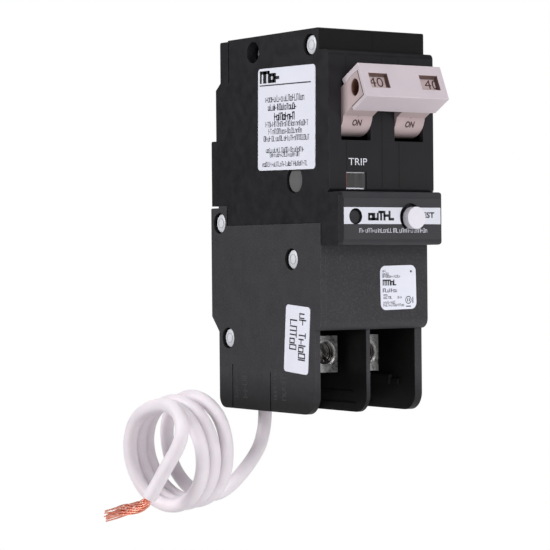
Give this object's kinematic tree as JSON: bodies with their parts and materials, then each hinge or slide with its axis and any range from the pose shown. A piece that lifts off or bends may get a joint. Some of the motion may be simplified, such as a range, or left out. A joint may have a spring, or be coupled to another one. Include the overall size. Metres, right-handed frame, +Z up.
{
  "type": "circuit breaker",
  "caption": "Two-pole ground-fault circuit breaker with a common rocking handle, test button, trip window, box lugs and a coiled white neutral pigtail",
  "frame": {"origin": "on the flat rear face at mid width, 44.4 mm above the bottom of the case and 66.95 mm below its top", "axes": "X across the two poles, -Y to the front where the handle is, +Z up"},
  "size_m": [0.0798, 0.0761, 0.1434],
  "materials": {
    "case_black": "smooth black thermoset, faint sheen",
    "module_black": "fine-textured black plastic",
    "block_black": "smooth black plastic",
    "handle_beige": "pinkish beige moulded plastic",
    "label_white": "printed white film",
    "label_black": "black printed film with a white stripe",
    "lens_smoke": "smoky clear plastic",
    "flag_red": "red plastic",
    "trip_grey": "grey plastic",
    "rivet_steel": "plated steel",
    "plug_grey": "grey plastic",
    "button_white": "white plastic",
    "spring_steel": "spring steel wire",
    "led_grey": "dark translucent epoxy",
    "board_green": "glass-epoxy board",
    "core_blue": "epoxy-coated core",
    "coil_copper": "enamelled copper winding",
    "steel": "zinc-plated steel",
    "copper": "bare copper",
    "silver": "silver alloy",
    "lug_alloy": "tin-plated aluminium",
    "chute_fibre": "steel plates in red fibre sheets",
    "wire_white": "slightly pinkish white insulation"
  },
  "bodies": {
    "housing": {"arc_chute_a": "chute_fibre", "arc_chute_b": "chute_fibre", "bimetal_a": "steel", "bimetal_b": "steel", "button_spring": "spring_steel", "cradle_a": "steel", "cradle_b": "steel", "face_block": "block_black", "face_board": "board_green", "face_label": "label_black", "fixed_contact_a": "silver", "fixed_contact_b": "silver", "front_label": "label_white", "gfci_case": "module_black", "gfci_cover": "module_black", "line_jaw_a": "copper", "line_jaw_b": "copper", "load_strap_a": "copper", "load_strap_b": "copper", "lug_a": "lug_alloy", "lug_b": "lug_alloy", "magnet_yoke_a": "steel", "magnet_yoke_b": "steel", "main_board": "board_green", "operating_spring_a": "spring_steel", "operating_spring_b": "spring_steel", "pigtail_bare": "copper", "pigtail_bushing": "module_black", "pigtail_coil": "wire_white", "pigtail_lead": "wire_white", "pigtail_tail": "wire_white", "pole_a_base": "case_black", "pole_a_cover": "case_black", "pole_b_base": "case_black", "pole_b_cover": "case_black", "rivets_lower": "rivet_steel", "rivets_upper": "rivet_steel", "sealing_plug": "plug_grey", "sensor_core": "core_blue", "side_label": "label_white", "side_sticker": "label_white", "solenoid_coil": "coil_copper", "solenoid_frame": "steel", "status_led": "led_grey", "trip_lens": "lens_smoke"},
    "handle": {"toggle_a": "handle_beige", "toggle_b": "handle_beige", "tie_bar": "handle_beige"},
    "arm_a": {"contact_arm_a": "copper", "moving_contact_a": "silver"},
    "arm_b": {"contact_arm_b": "copper", "moving_contact_b": "silver"},
    "button": {"test_button": "button_white"},
    "plunger": {"solenoid_plunger": "steel"},
    "trip_shaft": {"trip_bar": "trip_grey"},
    "flag": {"trip_flag": "flag_red"},
    "pad_a": {"pressure_pad_a": "steel"},
    "pad_b": {"pressure_pad_b": "steel"},
    "screw_a": {"lug_screw_a": "steel"},
    "screw_b": {"lug_screw_b": "steel"}
  },
  "joints": [
    {"name": "handle_pivot", "type": "hinge", "parent": "housing", "child": "handle", "pos_m": [0, -0.0553, 0.0423], "axis": [1, 0, 0], "range_deg": [0, 59]},
    {"name": "arm_pivot_a", "type": "hinge", "parent": "housing", "child": "arm_a", "pos_m": [0, -0.04, 0.033], "axis": [1, 0, 0], "range_deg": [-21, 0]},
    {"name": "arm_pivot_b", "type": "hinge", "parent": "housing", "child": "arm_b", "pos_m": [0, -0.04, 0.033], "axis": [1, 0, 0], "range_deg": [-21, 0]},
    {"name": "button_press", "type": "slide", "parent": "housing", "child": "button", "axis": [0, 1, 0], "range_m": [0, 0.0015], "stiffness_N_per_m": 400, "springref_m": -0.001, "deforming": ["button_spring"]},
    {"name": "plunger_slide", "type": "slide", "parent": "housing", "child": "plunger", "axis": [0, 0, 1], "range_m": [0, 0.002], "stiffness_N_per_m": 120, "springref_m": -0.001},
    {"name": "trip_turn", "type": "hinge", "parent": "housing", "child": "trip_shaft", "pos_m": [0, -0.0385, 0.0195], "axis": [1, 0, 0], "range_deg": [0, 25]},
    {"name": "flag_drop", "type": "slide", "parent": "housing", "child": "flag", "axis": [0, 0, 1], "range_m": [-0.005, 0]},
    {"name": "pad_slide_a", "type": "slide", "parent": "housing", "child": "pad_a", "axis": [0, 1, 0], "range_m": [0, 0.003]},
    {"name": "pad_slide_b", "type": "slide", "parent": "housing", "child": "pad_b", "axis": [0, 1, 0], "range_m": [0, 0.003]},
    {"name": "screw_turn_a", "type": "hinge", "parent": "pad_a", "child": "screw_a", "pos_m": [-0.0076, -0.04, -0.0271], "axis": [0, 1, 0], "range_deg": [0, 1080]},
    {"name": "screw_turn_b", "type": "hinge", "parent": "pad_b", "child": "screw_b", "pos_m": [0.0076, -0.04, -0.0271], "axis": [0, 1, 0], "range_deg": [0, 1080]}
  ],
  "couplings": [
    {"joint": "arm_pivot_a", "follows": "handle_pivot", "ratio": -0.35},
    {"joint": "arm_pivot_b", "follows": "handle_pivot", "ratio": -0.35},
    {"joint": "trip_turn", "follows": "plunger_slide", "rad_per_m": 205},
    {"joint": "flag_drop", "follows": "plunger_slide", "ratio": -2.45},
    {"joint": "screw_turn_a", "follows": "pad_slide_a", "rad_per_m": 6283.2},
    {"joint": "screw_turn_b", "follows": "pad_slide_b", "rad_per_m": 6283.2}
  ]
}
